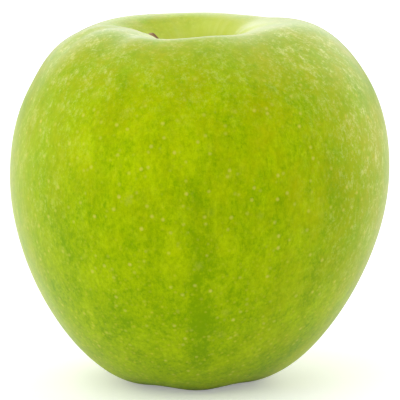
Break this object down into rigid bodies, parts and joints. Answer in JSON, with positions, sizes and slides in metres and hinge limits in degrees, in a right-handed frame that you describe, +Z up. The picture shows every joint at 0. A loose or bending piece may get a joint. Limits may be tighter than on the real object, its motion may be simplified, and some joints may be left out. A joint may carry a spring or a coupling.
{
  "type": "green apple",
  "caption": "Whole green apple with a bent woody stem in a deep cavity and a dried calyx in the basin under it.",
  "frame": {"origin": "on the standing plane, under the middle of the fruit", "axes": "+Z up from the calyx to the stem, -Y the side seen from the front, +X to the viewer's right; the stem leans to -X and a little to +Y"},
  "size_m": [0.076, 0.0762, 0.0723],
  "materials": {
    "skin": "smooth yellow-green skin with a thin wax bloom and fine pale dots",
    "stem": "dry brown bark with fine ridges",
    "calyx": "dried grey-brown sepals and threads"
  },
  "bodies": {
    "root": {"fruit": "skin", "stem": "stem", "calyx": "calyx"}
  },
  "joints": []
}
